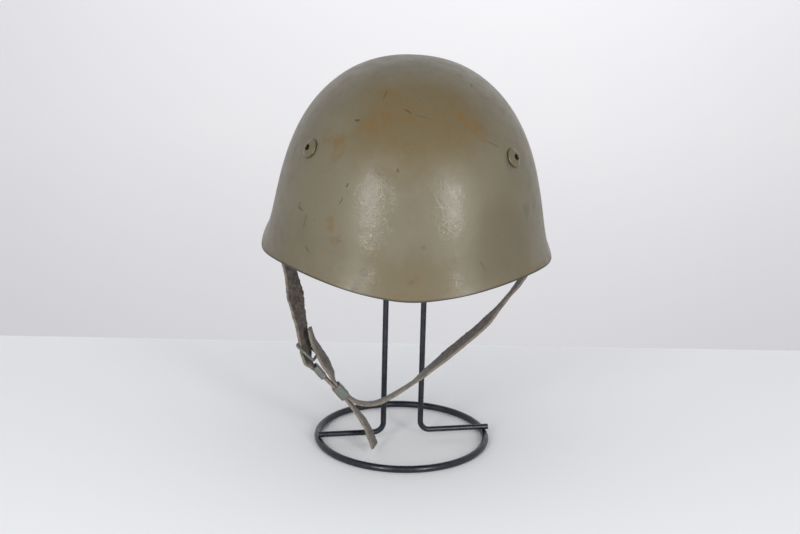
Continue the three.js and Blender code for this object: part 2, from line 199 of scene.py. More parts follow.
class HelmetSizes(bpy.types.PropertyGroup):
    half_width: length("Half width", "Shell's reach to the side above the skirt", 108.7)
    front_reach: length("Front reach", "Shell's reach to the brow above the skirt", 116.2)
    back_reach: length("Back reach", "Shell's reach to the nape above the skirt", 128.7)
    height: length("Height", "Shell's height over the rim plane", 151)
    wall: length("Wall", "Thickness of the pressed steel", 1.2)
    flange: length("Rivet head", "Radius of a vent rivet's domed head", 7.6)
    rivet_height: length("Rivet height", "Height of a vent rivet's domed head", 3.3)
    strap_width: length("Strap width", "Width of the leather strap", 17)
    strap_thickness: length("Strap thickness", "Thickness of the leather strap", 2.4)
    base_ring: length("Base ring", "Radius of the stand's base ring", 72.5)
    base_wire: length("Base ring wire", "Diameter of the base ring's wire", 5.8)
    top_ring: length("Top ring", "Radius of the ring under the dome", 45)
    stand_wire: length("Stand wire", "Diameter of the uprights and the top ring", 4.8)
    shell_rows: IntProperty(
        name="Shell rows", description="Mesh rows from the rim to the crown", default=104, min=8
    )
    shell_columns: IntProperty(
        name="Shell columns", description="Mesh columns round the shell", default=288, min=16
    )


class HelmetColours(bpy.types.PropertyGroup):
    paint: colour("Paint", "Shell's grey-green paint", 104, 97, 77)
    paint_warm: colour("Warm paint", "Browned paint over the brow", 92, 78, 43)
    paint_deep: colour("Worn paint", "Dark worn patches of the shell", 90, 81, 61)
    rust: colour("Rust", "Orange-brown patches", 103, 76, 28)
    lining: colour("Inside paint", "Shell's inside", 82, 80, 70)
    rivet: colour("Rivet", "Painted vent rivets", 88, 81, 57)
    leather_face: colour("Leather face", "Dark suede face of the strap", 53, 45, 40)
    leather_pile: colour("Leather pile", "Raised light fibres of the suede", 104, 92, 81)
    leather_edge: colour("Leather edge", "Cut edge of the strap", 113, 104, 90)
    leather_grain: colour("Leather grain", "Outer face of the strap", 88, 84, 72)
    fitting: colour("Fittings", "Paint on the buckle and keepers", 84, 90, 85)
    stand: colour("Stand", "Blue-black gloss of the stand", 19, 24, 33)
    floor: colour("Floor", "Floor under the stand", 240, 240, 241)
    backdrop: colour("Backdrop", "Wall behind the object", 229, 228, 229)


def spaced(values):
    """Socket names may be given as keywords, with _ for a space."""
    return {name.replace("_", " "): value for name, value in values.items()}


def math_operator(operation, turned=False):
    """A Python operator that adds a Math node; a turned one takes its term on the right."""

    def apply(term, other):
        pair = (other, term) if turned else (term, other)
        return term.maker.math(operation, *pair)

    return apply


class Term:
    """A node socket that takes part in Python expressions."""

    def __init__(self, maker, socket):
        self.maker = maker
        self.socket = socket

    __add__ = math_operator("ADD")
    __radd__ = math_operator("ADD", True)
    __sub__ = math_operator("SUBTRACT")
    __rsub__ = math_operator("SUBTRACT", True)
    __mul__ = math_operator("MULTIPLY")
    __rmul__ = math_operator("MULTIPLY", True)
    __truediv__ = math_operator("DIVIDE")
    __rtruediv__ = math_operator("DIVIDE", True)
    __pow__ = math_operator("POWER")

    def __abs__(self):
        return self.maker.math("ABSOLUTE", self)


class Maker:
    """Adds nodes to one tree, for a shader or for geometry."""

    def __init__(self, tree):
        self.tree = tree

    def feed(self, socket, value):
        if isinstance(value, Term):
            self.tree.links.new(value.socket, socket)
        else:
            socket.default_value = value

    def node(self, kind, settings=None, values=None):
        """Makes a node of any kind: its settings come first, then its values and links."""
        made = self.tree.nodes.new(kind)
        for key, value in (settings or {}).items():
            setattr(made, key, value)
        for key, value in (values or {}).items():
            self.feed(made.inputs[key], value)
        return made

    def term(self, kind, output=0, settings=None, **values):
        """One output of a new node; the names of its sockets use _ for a space."""
        return Term(self, self.node(kind, settings, spaced(values)).outputs[output])

    def math(self, operation, *values):
        made = self.node("ShaderNodeMath", {"operation": operation}, dict(enumerate(values)))
        return Term(self, made.outputs[0])

    def vector_math(self, operation, *values):
        output = "Value" if operation in ("DISTANCE", "LENGTH", "DOT_PRODUCT") else "Vector"
        made = self.node("ShaderNodeVectorMath", {"operation": operation}, dict(enumerate(values)))
        return Term(self, made.outputs[output])

    def vector(self, x=0.0, y=0.0, z=0.0):
        return self.term("ShaderNodeCombineXYZ", X=x, Y=y, Z=z)

    def noise(self, where, scale, detail=3.0, roughness=0.55, distortion=0.0):
        return self.term(
            "ShaderNodeTexNoise", Vector=where, Scale=scale, Detail=detail, Roughness=roughness,
            Distortion=distortion,
        )

    def rise(self, value, low, high):
        """0 below low, 1 above high and a smooth step between; falls if high is the lower."""
        return self.term(
            "ShaderNodeMapRange", settings={"interpolation_type": "SMOOTHSTEP"}, Value=value,
            From_Min=min(low, high), From_Max=max(low, high), To_Min=float(low > high),
            To_Max=float(low < high),
        )


class Looks(Maker):
    """Builds one procedural material, coat over coat."""

    def __init__(self, name, base):
        self.material = bpy.data.materials.new(name)
        self.material.use_nodes = True
        super().__init__(self.material.node_tree)
        self.tree.nodes.clear()
        self.where = self.term("ShaderNodeTexCoord", "Object")
        self.base = base

    def attribute(self, name):
        return self.term("ShaderNodeAttribute", "Fac", {"attribute_name": name})

    def mix(self, share, first, second):
        """Colour between two, each a term, a colour property's name or screen levels."""
        made = self.node("ShaderNodeMix", {"data_type": "RGBA"}, {0: share})
        for socket, value in ((made.inputs[6], first), (made.inputs[7], second)):
            if isinstance(value, str):
                value = (*getattr(bpy.context.scene.helmet_colours, value), 1.0)
            elif not isinstance(value, Term):
                value = (*srgb(*value), 1.0)
            self.feed(socket, value)
        return Term(self, made.outputs[2])

    def coat(self, share, tone):
        """Lays a colour over what is there."""
        self.base = self.mix(share, self.base, tone)

    def cloud(self, scale, detail, low, high):
        """Soft-edged patches wherever noise in object space is over a level."""
        return self.rise(self.noise(self.where, scale, detail), low, high)

    def spot(self, centre, radius, raggedness, scale):
        """1 at the middle of a ragged patch in object space and 0 outside it."""
        away = self.vector_math("DISTANCE", self.where, tuple(centre))
        drawn = self.vector_math("MULTIPLY", self.where, (1.0, 1.0, 0.5))
        ragged = (self.noise(drawn, scale, 4.0, 0.6) - 0.5) * (raggedness * 4)
        return self.rise(away / radius + ragged, 1.1, 0.35)

    def shell_spots(self, rows, raggedness, scale, growth=1.0):
        """Ragged patches: a row has an angle, a level, a radius in mm and perhaps a depth."""
        masks = []
        for degrees, level, radius, *depth in rows:
            centre = shell_seat(degrees, level)[0]
            mask = self.spot(centre, radius * growth * MM, raggedness, scale)
            masks.append(mask * depth[0] if depth else mask)
        return self.most(masks)

    def shell_marks(self, rows):
        """Short straight marks, each turned from upright by its own angle."""
        masks = []
        for degrees, level, turn, reach, breadth in rows:
            place, facing = shell_seat(degrees, level)
            side = facing.cross(Vector((0, 0, 1))).normalized()
            angle = math.radians(turn)
            heading = side * math.sin(angle) + side.cross(facing) * -math.cos(angle)
            masks.append(self.mark(place, heading, reach * MM, breadth * MM))
        return self.most(masks)

    def mark(self, centre, heading, reach, breadth):
        """A short straight mark through a point in object space."""
        away = self.vector_math("SUBTRACT", self.where, tuple(centre))
        along = self.vector_math("DOT_PRODUCT", away, tuple(heading))
        whole = self.vector_math("LENGTH", away)
        off = self.math("SQRT", self.math("MAXIMUM", whole * whole - along * along, 0.0))
        off = off + self.noise(self.where, 900.0, 2.0) * breadth
        near = self.rise(off, breadth * 2.0, breadth * 0.8)
        return near * self.rise(abs(along), reach, reach * 0.5)

    def most(self, masks):
        """The strongest of several masks."""
        strongest = masks[0]
        for mask in masks[1:]:
            strongest = self.math("MAXIMUM", strongest, mask)
        return strongest

    def bump(self, height, distance, strength):
        return self.term("ShaderNodeBump", Height=height, Distance=distance, Strength=strength)

    def finish(self, **values):
        """Ends the material in one surface shader; names use _ for a space."""
        shader = self.term("ShaderNodeBsdfPrincipled", Base_Color=self.base, **values)
        self.node("ShaderNodeOutputMaterial", None, {"Surface": shader})
        return self.material


SOCKETS = {float: "NodeSocketFloat", int: "NodeSocketInt", tuple: "NodeSocketVector"}


class Shaper(Maker):
    """Builds one geometry tree with named inputs and a material."""

    def __init__(self, name, **inputs):
        tree = bpy.data.node_groups.new(name, "GeometryNodeTree")
        sockets = tree.interface
        sockets.new_socket("Geometry", in_out="INPUT", socket_type="NodeSocketGeometry")
        for label, default in spaced(inputs).items():
            kind = SOCKETS[type(default)]
            sockets.new_socket(label, in_out="INPUT", socket_type=kind).default_value = default
        sockets.new_socket("Material", in_out="INPUT", socket_type="NodeSocketMaterial")
        sockets.new_socket("Geometry", in_out="OUTPUT", socket_type="NodeSocketGeometry")
        super().__init__(tree)
        self.source = self.node("NodeGroupInput")

    def input(self, label):
        return Term(self, self.source.outputs[label])

    def store(self, geometry, name, value):
        kind = "GeometryNodeStoreNamedAttribute"
        return self.term(kind, Geometry=geometry, Name=name, Value=value)

    def join(self, *parts):
        joined = self.node("GeometryNodeJoinGeometry")
        for part in parts:
            self.feed(joined.inputs[0], part)
        return Term(self, joined.outputs[0])

    def finish(self, geometry):
        """Every tree ends in plain geometry with one material."""
        whole = self.term("GeometryNodeRealizeInstances", Geometry=geometry)
        material = self.input("Material")
        painted = self.term("GeometryNodeSetMaterial", Geometry=whole, Material=material)
        self.node("NodeGroupOutput", None, {0: painted})
        return self.tree


def grown(thing, tree, **values):
    """Runs a geometry tree on an object once and keeps the result as its plain mesh."""
    values = spaced(values)
    modifier = thing.modifiers.new(tree.name, "NODES")
    modifier.node_group = tree
    for item in tree.interface.items_tree:
        if item.in_out == "INPUT" and item.name in values:
            modifier[item.identifier] = values[item.name]
    bpy.context.view_layer.update()
    depsgraph = bpy.context.evaluated_depsgraph_get()
    made = bpy.data.meshes.new_from_object(thing.evaluated_get(depsgraph))
    thing.modifiers.remove(modifier)
    old = thing.data
    thing.data = made
    bpy.data.meshes.remove(old)
    made.name = thing.name
    if not made.polygons:
        raise RuntimeError(f"{thing.name}: the tree {tree.name} made no faces")
    made.shade_smooth()
    return thing


def mesh_piece(name, points, faces, material=None, attributes=None, edges=()):
    """An object with its place in its mesh, and float attributes by vertex."""
    mesh = bpy.data.meshes.new(name)
    mesh.from_pydata(np.asarray(points, float).tolist(), list(edges), faces)
    for label, values in (attributes or {}).items():
        made = mesh.attributes.new(label, "FLOAT", "POINT")
        made.data.foreach_set("value", np.asarray(values, np.float32))
    if material is not None:
        mesh.materials.append(material)
    mesh.shade_smooth()
    thing = bpy.data.objects.new(name, mesh)
    bpy.context.scene.collection.objects.link(thing)
    return thing


def grid_faces(rows, columns, closed_rows=False):
    """Quads between loops of points; the columns always close."""
    faces = []
    for row in range(rows if closed_rows else rows - 1):
        low = row * columns
        high = (row + 1) % rows * columns
        for column in range(columns):
            after = (column + 1) % columns
            faces.append((low + column, low + after, high + after, high + column))
    return faces


def facing_out(thing):
    """Turns the faces of a closed mesh outwards."""
    mesh = thing.data
    mesh.calc_loop_triangles()
    corners = np.array([mesh.vertices[i].co for t in mesh.loop_triangles for i in t.vertices])
    a, b, c = corners.reshape(-1, 3, 3).transpose(1, 0, 2)
    if np.einsum("ij,ij->", a, np.cross(b, c)) < 0:
        mesh.flip_normals()
    return thing


def settle(thing, slot, *nodes):
    """Makes a finished piece stand for its CAD nodes."""
    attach(thing, BODY)
    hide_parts(*nodes)
    return thing


def ripple(places, seed, wavelengths):
    """Smooth noise from -1 to 1 along a line, from sines with seeded phases."""
    draw = np.random.default_rng(seed)
    total = np.zeros_like(places)
    for wavelength in wavelengths:
        total += np.sin(2 * math.pi * (places / wavelength + draw.random()))
    return total / len(wavelengths)


NUMBERS = {
    "SINE": math.sin,
    "COSINE": math.cos,
    "EXPONENT": math.exp,
    "MAXIMUM": max,
    "GREATER_THAN": float.__gt__,
}


def worked(operation, *values):
    """A function of numbers, or a Math node on sockets."""
    if isinstance(values[0], Term):
        return values[0].maker.math(operation, *values)
    return NUMBERS[operation](*values)


def shell_rule(angle, level, half_width, front_reach, back_reach, whole_height):
    """Place on the shell at an angle from the brow and a share of the height.

    It takes numbers or sockets, so that the tree and what sits on the shell share one rule.
    """
    across = worked("SINE", angle)
    ahead = worked("COSINE", angle)
    reach = back_reach + worked("GREATER_THAN", ahead, 0.0) * (front_reach - back_reach)
    wide = abs(across / half_width) ** PLAN_POWER
    plan = (wide + abs(ahead / reach) ** PLAN_POWER) ** (-1 / PLAN_POWER)
    share = worked("MAXIMUM", 1 - level**SHOULDER_POWER, 0.0) ** CROWN_POWER
    middle = (FLARE["front"] + FLARE["back"]) / 2
    flare = ahead * ((FLARE["front"] - FLARE["back"]) / 2 * MM) + FLARE["side"] * MM
    flare = flare + ahead * ahead * ((middle - FLARE["side"]) * MM)
    height = level * whole_height
    out = flare * worked("EXPONENT", height * (-1 / (FLARE["fade"] * MM)))
    radius = (plan + out) * share
    above = 1 - level
    wave = 0
    for harmonic, rise in RIM_WAVE:
        wave = wave + worked("COSINE", angle * float(harmonic)) * (rise * MM)
    return across * radius, ahead * radius * -1, height + wave * above * above


def shell_seat(degrees, level):
    """Place and outward direction on the placed helmet."""
    sizes = bpy.context.scene.helmet_sizes
    whole = (sizes.half_width, sizes.front_reach, sizes.back_reach, sizes.height)

    def point(angle, level):
        return Vector(shell_rule(angle, level, *whole))

    angle = math.radians(degrees)
    step = 1e-4
    around = point(angle + step, level) - point(angle - step, level)
    up = point(angle, level + step) - point(angle, level - step)
    turn = HELMET_TURN.to_matrix()
    return turn @ point(angle, level) + HELMET_PLACE, turn @ around.cross(up).normalized()


def shell_tree():
    """Tree of the pressed shell: a formula shapes a grid, which then gets its wall and holes."""
    shaper = Shaper(
        "pressed_shell", Half_Width=0.1, Front_Reach=0.1, Back_Reach=0.1, Height=0.15, Wall=0.0012,
        Rows=100, Columns=288,
    )
    grid = shaper.term(
        "GeometryNodeMeshGrid", "Mesh", Size_X=1.0, Size_Y=1.0,
        Vertices_X=shaper.input("Columns") + 1, Vertices_Y=shaper.input("Rows") + 1,
    )
    position = shaper.term("GeometryNodeInputPosition")
    parts = shaper.node("ShaderNodeSeparateXYZ", None, {0: position}).outputs
    angle = Term(shaper, parts["X"]) * (2 * math.pi)
    level = shaper.math("SINE", (Term(shaper, parts["Y"]) + 0.5) * (math.pi / 2)) ** 1.3
    level = shaper.math("MINIMUM", level, 1.0)
    labels = ("Half Width", "Front Reach", "Back Reach", "Height")
    x, y, z = shell_rule(angle, level, *[shaper.input(label) for label in labels])
    # The middle of the brow's edge comes down to a slight point
    point = shaper.math("EXPONENT", (angle * 6.5) ** 2 * -1) * (1 - level) ** 9 * BROW_POINT
    place = shaper.vector(x, y, z - point)
    surface = shaper.store(grid, "level", level)
    surface = shaper.term("GeometryNodeSetPosition", Geometry=surface, Position=place)
    surface = shaper.term("GeometryNodeMergeByDistance", Geometry=surface, Distance=1e-6)
    # Slow waves and soft dents of hand wear
    slow = (shaper.noise(position, 11.0, 2.0) - 0.5) * WAVE_DEPTH
    dents = shaper.rise(shaper.noise(position, 24.0, 1.0), 0.36, 0.22) * -DENT_DEPTH
    normal = shaper.term("GeometryNodeInputNormal")
    scaled = {"operation": "SCALE"}
    push = shaper.term("ShaderNodeVectorMath", 0, scaled, Vector=normal, Scale=slow + dents)
    outer = shaper.term("GeometryNodeSetPosition", Geometry=surface, Offset=push)
    outer = shaper.store(outer, "inside", 0.0)
    inner = shaper.term(
        "GeometryNodeExtrudeMesh", "Mesh", {"mode": "FACES"}, Mesh=outer,
        Offset_Scale=shaper.input("Wall") * -1, Individual=False,
    )
    inner = shaper.term("GeometryNodeFlipFaces", Mesh=shaper.store(inner, "inside", 1.0))
    wall = shaper.join(outer, inner)
    wall = shaper.term("GeometryNodeMergeByDistance", Geometry=wall, Distance=1e-6)
    settings = {"operation": "DIFFERENCE", "solver": "EXACT"}
    holes = shaper.node("GeometryNodeMeshBoolean", settings, {"Mesh 1": wall})
    size = {"Radius": RIVET_HOLE * MM, "Depth": PUNCH_LENGTH * MM}
    punch = shaper.term("GeometryNodeMeshCylinder", "Mesh", Vertices=32, **size)
    turn_back = HELMET_TURN.to_matrix().inverted()
    for degrees in RIVET_SITES.values():
        place, facing = shell_seat(degrees, RIVET_LEVEL)
        placed = shaper.term(
            "GeometryNodeTransform", Geometry=punch,
            Translation=tuple(turn_back @ (place - HELMET_PLACE)),
            Rotation=tuple((turn_back @ facing).to_track_quat("Z", "Y").to_euler()),
        )
        shaper.feed(holes.inputs["Mesh 2"], placed)
    whole = shaper.term(
        "GeometryNodeTransform", Geometry=Term(shaper, holes.outputs["Mesh"]),
        Translation=tuple(HELMET_PLACE), Rotation=tuple(HELMET_TURN),
    )
    return shaper.finish(whole)


# Rust and ochre patches on the shell: angle from the brow in degrees, level, radius in mm, depth
SHELL_STAINS = (
    (-22.7, 0.80, 10, 0.75), (-17, 0.82, 5, 1.0), (-22.0, 0.91, 6, 0.9), (-4.5, 0.83, 5, 0.8),
    (28.3, 0.84, 6, 1.0), (33.1, 0.79, 8, 0.9), (36, 0.75, 7, 0.5), (-40.9, 0.69, 9, 0.65),
    (-35, 0.64, 8, 0.5), (-31.3, 0.32, 4, 0.55), (-30.8, 0.28, 3.5, 0.6), (-28.7, 0.23, 4, 0.7),
    (32.5, 0.27, 4, 0.7), (1.5, 0.10, 5, 0.7),
)
# How much wider the patches look than their radius
STAIN_GROWTH = 1.15
# Areas where the paint has wrinkled, given bumps and painted pale glints where the lights reflect:
# angle, level and radius in mm
WRINKLED = (
    (-15.6, 0.49, 20), (-13.5, 0.37, 17), (-14.4, 0.27, 13), (13.8, 0.50, 18), (15, 0.38, 17),
    (17, 0.08, 8), (-14, 0.09, 9),
)
# Dark scratches: angle, level, turn from upright in degrees, half length and half breadth in mm
SHELL_SCRATCHES = (
    (-23.5, 0.90, 4, 6, 0.4), (-4.7, 0.85, -55, 4, 0.6), (5, 0.83, -72, 16, 0.25),
    (-32.6, 0.79, 80, 2.5, 1.0), (-39.8, 0.13, -35, 3, 0.5), (-43.1, 0.27, 12, 7, 0.4),
    (-47, 0.32, -70, 4, 0.6), (-6.7, 0.61, 0, 1.6, 1.0), (-27.0, 0.51, 20, 2, 0.7),
    (-28.2, 0.43, 30, 3, 0.5), (59, 0.92, 40, 3, 0.9), (40, 0.70, -62, 9, 0.3),
    (27, 0.13, -30, 6, 0.25),
)
# Small dark scuffs: angle, level and radius in mm
SHELL_SCUFFS = (
    (-16.5, 0.11, 4), (-18.6, 0.02, 5), (0.6, 0.09, 3), (4.5, 0.26, 2.5), (-48, 0.34, 3),
    (46, 0.60, 6), (52, 0.35, 7),
)


def shell_material():
    """Satin grey-green paint, browned over the brow, with rust patches, wrinkles with painted pale
    glints and a painted dark line of shade along the rim.
    """
    looks = Looks("shell_paint", "paint")
    where = looks.where
    level = looks.attribute("level")
    broad = looks.noise(where, 14.0, 4.0, 0.6, 0.4)
    grain = looks.noise(where, 480.0, 3.0, 0.7)
    mottle = looks.noise(where, 90.0, 5.0, 0.65)
    looks.coat(looks.rise(broad, 0.42, 0.7) * 0.55, "paint_deep")
    brow = looks.spot(shell_seat(2, 0.82)[0], 0.062, 0.25, 22.0)
    looks.coat(brow * 0.75, "paint_warm")
    looks.coat(looks.rise(mottle, 0.55, 0.75) * 0.35, "paint_deep")
    rust = looks.shell_spots(SHELL_STAINS, 0.85, 130.0, STAIN_GROWTH)
    drips = looks.vector_math("MULTIPLY", where, (1.0, 1.0, 0.25))
    drips = looks.rise(looks.noise(drips, 190.0, 3.0), 0.42, 0.62)
    looks.coat(brow * drips * 0.28, "rust")
    looks.coat(rust * (drips * 0.4 + 0.6), "rust")
    low_right = looks.spot(shell_seat(36, 0.2)[0], 0.04, 0.3, 30.0)
    low_front = looks.spot(shell_seat(0, 0.03)[0], 0.045, 0.5, 30.0)
    # Darker paint low on the right side of the shell
    looks.coat(low_right * 0.65, "paint_deep")
    looks.coat(low_front * 0.5, "paint_warm")
    front_rim = looks.rise(level, 0.05, 0.012) * looks.rise(mottle, 0.45, 0.65)
    looks.coat(front_rim * 0.6, "rust")
    # Wrinkled paint that breaks the soft reflections, with painted highlights: pale glints on its
    # ridges, flecks and blotches
    wrinkled = looks.shell_spots(WRINKLED, 0.3, 60.0)
    warp = looks.vector(broad * 0.02, mottle * 0.006, grain * 0.001)
    warped = looks.vector_math("ADD", where, warp)
    cells = {"feature": "DISTANCE_TO_EDGE"}
    borders = looks.term("ShaderNodeTexVoronoi", 0, cells, Vector=warped, Scale=130.0)
    ridges_and_glints = looks.rise(borders, 0.08, 0.0) * looks.cloud(170.0, 3.0, 0.46, 0.62)
    everywhere = looks.cloud(30.0, 2.0, 0.56, 0.7) * 0.25
    ridges_and_glints = ridges_and_glints * looks.math("MAXIMUM", wrinkled, everywhere)
    glint_flecks = looks.rise(looks.noise(where, 420.0, 2.0, 0.6, 1.0), 0.62, 0.7) * wrinkled
    sheen_blotches = looks.rise(mottle, 0.48, 0.68) * wrinkled * 0.1
    # Painted highlights: pale glints of the lights on the wrinkled paint
    looks.coat(looks.most([ridges_and_glints * 0.2, glint_flecks * 0.42, sheen_blotches]), (178, 173, 160))
    scratch = looks.shell_marks(SHELL_SCRATCHES)
    scuffs = looks.shell_spots(SHELL_SCUFFS, 0.5, 260.0)
    looks.coat(scuffs * 0.45, (76, 66, 60))
    looks.coat(scratch * 0.85, (44, 39, 33))
    looks.coat(looks.cloud(240.0, 1.0, 0.76, 0.8) * 0.5, (80, 70, 56))
    looks.coat((grain - 0.5) * 0.25 + 0.12, (76, 70, 54))
    # Painted shade: a dark line along the bottom edge of the rim
    rim_shade_line = looks.rise(level, 0.012, 0.004)
    looks.coat(rim_shade_line * 0.9, (42, 37, 33))
    looks.coat(looks.attribute("inside"), "lining")
    roughness = looks.rise(mottle, 0.3, 0.8) * 0.14 + 0.31 + grain * 0.08 - wrinkled * 0.07
    wrinkle = looks.noise(warped, 260.0, 2.0, 0.5, 0.8) * wrinkled
    height = grain * 0.25 + mottle * 0.5 - scratch * 0.6 + ridges_and_glints * 0.4 + wrinkle * 1.4
    return looks.finish(Roughness=roughness, Normal=looks.bump(height, 0.0004, 0.4))


def rivet_material():
    """The shell's paint, with painted shade darkening the hole and the lip under the head, where
    some worn metal also shows.
    """
    looks = Looks("rivet_metal", "rivet")
    wear = looks.noise(looks.where, 420.0, 4.0, 0.65)
    edge = looks.attribute("lip_shade_and_wear")
    looks.coat(looks.rise(wear, 0.4, 0.7) * 0.6, (96, 88, 62))
    # Painted shade in the hole and under the head's rim, with a little worn metal
    looks.coat(edge * 0.85, (40, 35, 27))
    return looks.finish(
        Roughness=wear * 0.2 + 0.14, Metallic=edge * 0.3, Normal=looks.bump(wear, 0.0002, 0.4),
    )


def rivet_profile():
    """Radius, height and darkening of each ring of a vent rivet, in mm, from the inside outwards;
    the darkening is painted shade in the hole and under the head's rim, with some worn metal.
    """
    sizes = bpy.context.scene.helmet_sizes
    head = sizes.flange / MM
    top = sizes.rivet_height / MM
    seat = SEAT_GAP
    low = -1.2 - 1.5 * seat
    return (
        (2.1, low - 1.0, 1), (2.3, low - 1.2, 1), (6.1, low - 1.2, 0), (6.4, low - 0.9, 1),
        (6.3, low - 0.4, 0), (4.05, low - 0.2, 0), (4.0, low - 0.1, 0), (4.0, seat - 0.1, 0),
        (4.1, seat, 1), (head - 0.9, seat - 0.05, 1), (head - 0.3, seat, 1),
        (head, seat + 0.15, 1), (head + 0.1, seat + 0.35, 1), (head, seat + 0.6, 0.6),
        (head - 0.4, seat + 0.95, 0.1), (head - 0.9, seat + 1.25, 0), (head - 1.6, top - 1.35, 0),
        (head - 2.4, top - 0.85, 0), (head - 3.2, top - 0.45, 0), (head - 3.9, top - 0.15, 0),
        (3.3, top - 0.02, 0.1), (2.8, top, 0.3), (2.4, top - 0.12, 0.8), (2.15, top - 0.4, 1),
        (2.1, top - 0.9, 1),
    )


def seat_tree():
    """Tree that seats its geometry at a place, with its local Z along a direction."""
    shaper = Shaper("seat_on_surface", Place=(0.0, 0.0, 0.0), Facing=(0.0, 0.0, 1.0))
    align = "FunctionNodeAlignRotationToVector"
    seated = shaper.term(
        "GeometryNodeInstanceOnPoints",
        Points=shaper.term("GeometryNodePoints", Count=1, Position=shaper.input("Place")),
        Instance=shaper.input("Geometry"),
        Rotation=shaper.term(align, 0, {"axis": "Z"}, Vector=shaper.input("Facing")),
    )
    return shaper.finish(seated)


class StrapLine:
    """A strap half as a smooth curve through its stations, with the turn of its front edge."""

    def __init__(self, stations):
        self.points = np.array([station[:3] for station in stations], float)
        self.turns = [station[3] for station in stations]
        self.spans = len(stations) - 1

    def point(self, station):
        """Centripetal Catmull-Rom point, the ends being mirrored outwards."""
        points = self.points
        span = min(int(station), self.spans - 1)
        t = station - span
        start, end = points[span], points[span + 1]
        before = points[span - 1] if span > 0 else 2 * points[0] - points[1]
        after = points[span + 2] if span + 2 <= self.spans else 2 * points[-1] - points[-2]
        gaps = [
            math.sqrt(max(float(np.linalg.norm(b - a)), 1e-6))
            for a, b in ((before, start), (start, end), (end, after))
        ]
        leave = (start - before) / gaps[0] - (end - before) / (gaps[0] + gaps[1])
        leave = (leave + (end - start) / gaps[1]) * gaps[1]
        arrive = (end - start) / gaps[1] - (after - start) / (gaps[1] + gaps[2])
        arrive = (arrive + (after - end) / gaps[2]) * gaps[1]
        cubic = 2 * start - 2 * end + leave + arrive
        square = -3 * start + 3 * end - 2 * leave - arrive
        return start + leave * t + square * t**2 + cubic * t**3

    def frame(self, station):
        """Middle point and the along, front and inward directions."""
        step = 1e-3
        low, high = max(station - step, 0), min(station + step, self.spans)
        along = self.point(high) - self.point(low)
        along /= np.linalg.norm(along)
        below = min(int(station), self.spans - 1)
        share = min(max(station - below, 0), 1)
        share = share * share * (3 - 2 * share)
        turn = math.radians(self.turns[below] * (1 - share) + self.turns[below + 1] * share)
        ahead = np.array((0.0, -1.0, 0.0))
        ahead -= ahead.dot(along) * along
        ahead /= np.linalg.norm(ahead)
        inward = np.cross(ahead, along)
        front = ahead * math.cos(turn) - inward * math.sin(turn)
        return self.point(station), along, front, np.cross(front, along)


def strap_lines():
    """Both strap halves; in the lower keeper the long one lies on the buckle one."""
    buckle = StrapLine(BUCKLE_HALF)
    thick = bpy.context.scene.helmet_sizes.strap_thickness / MM
    layered = []
    for station in LAYERED_STATIONS:
        centre, _, _, inward = buckle.frame(station)
        layered.append((*(centre + inward * (thick + SLEEVE_LOOSENESS)), KEEPER_TURN))
    return {"buckle": buckle, "long": StrapLine((*LONG_HALF_END, *layered, *LONG_HALF_REST))}


def arc(centre, radius, start, end, steps):
    """Points of an arc in a plane, angles in degrees."""
    angles = np.radians(np.linspace(start, end, steps + 1))
    return [(centre[0] + radius * math.cos(a), centre[1] + radius * math.sin(a)) for a in angles]


def rounded_rectangle(half_a, half_b, radius, corner_steps, steps_a, steps_b):
    """Corners of a rounded rectangle, anticlockwise, as pairs."""
    reach = (half_a - radius, half_b - radius)
    bends = [
        arc(np.multiply(signs, reach), radius, quarter * 90, quarter * 90 + 90, corner_steps)
        for quarter, signs in enumerate(((1, 1), (-1, 1), (-1, -1), (1, -1)))
    ]
    points = []
    for quarter, bend in enumerate(bends):
        steps = steps_b if quarter % 2 else steps_a
        straight = np.linspace(bend[-1], bends[(quarter + 1) % 4][0], steps + 1)
        points += [*bend, *straight[1:-1]]
    return np.array(points)


def strap_piece(name, line, seed, material):
    """A leather strap: straight front cut, torn back edge and a slightly uneven section."""
    sizes = bpy.context.scene.helmet_sizes
    half_width = sizes.strap_width / MM / 2
    half_thick = sizes.strap_thickness / MM / 2
    section = rounded_rectangle(half_width, half_thick, STRAP_CORNER, 3, 26, 4)
    count = len(section)
    stations = np.linspace(0, line.spans, line.spans * STRAP_STEPS + 1)
    frames = [line.frame(station) for station in stations]
    centres = np.array([frame[0] for frame in frames])
    walked = np.concatenate(([0], np.cumsum(np.linalg.norm(np.diff(centres, axis=0), axis=1))))
    torn = ripple(walked, seed, (23, 9.1, 5.3)) * 0.8 + ripple(walked, seed + 1, (3.1, 1.9)) * 0.4
    cut = ripple(walked, seed + 2, (17, 7.7)) * 0.3 + ripple(walked, seed + 3, (3.7, 2.1)) * 0.22
    points, edge, outer = [], [], []
    for row, (centre, _, front, inward) in enumerate(frames):
        for wide, deep in section:
            near_back = max(-wide / half_width, 0) ** 2
            near_front = max(wide / half_width, 0) ** 2
            wide_now = wide - near_back * (torn[row] - 0.2) + near_front * cut[row]
            cup = STRAP_CUP * ((wide / half_width) ** 2 - 0.5)
            points.append((centre + front * wide_now + inward * (deep + cup)) * MM)
            near_edge = min(max((abs(wide) - half_width + 0.9) / 0.6, 0), 1)
            edge.append(near_edge * (1 if wide > 0 else 0.6))
            # The middle of the front edge counts as outer, and that of the back edge doesn't
            outer.append(1.0 if deep < wide * 1e-9 else 0.0)
    faces = grid_faces(len(frames), count)
    for row, turned in ((0, False), (len(frames) - 1, True)):
        first = row * count
        middle = len(points)
        points.append(np.mean(points[first : first + count], axis=0))
        edge.append(0.8)
        outer.append(0.0)
        for k in range(count):
            pair = (first + k, first + (k + 1) % count)
            faces.append((middle, *(pair if turned else pair[::-1])))
    attributes = {"edge": edge, "outer": outer}
    return facing_out(mesh_piece(name, points, faces, material, attributes))


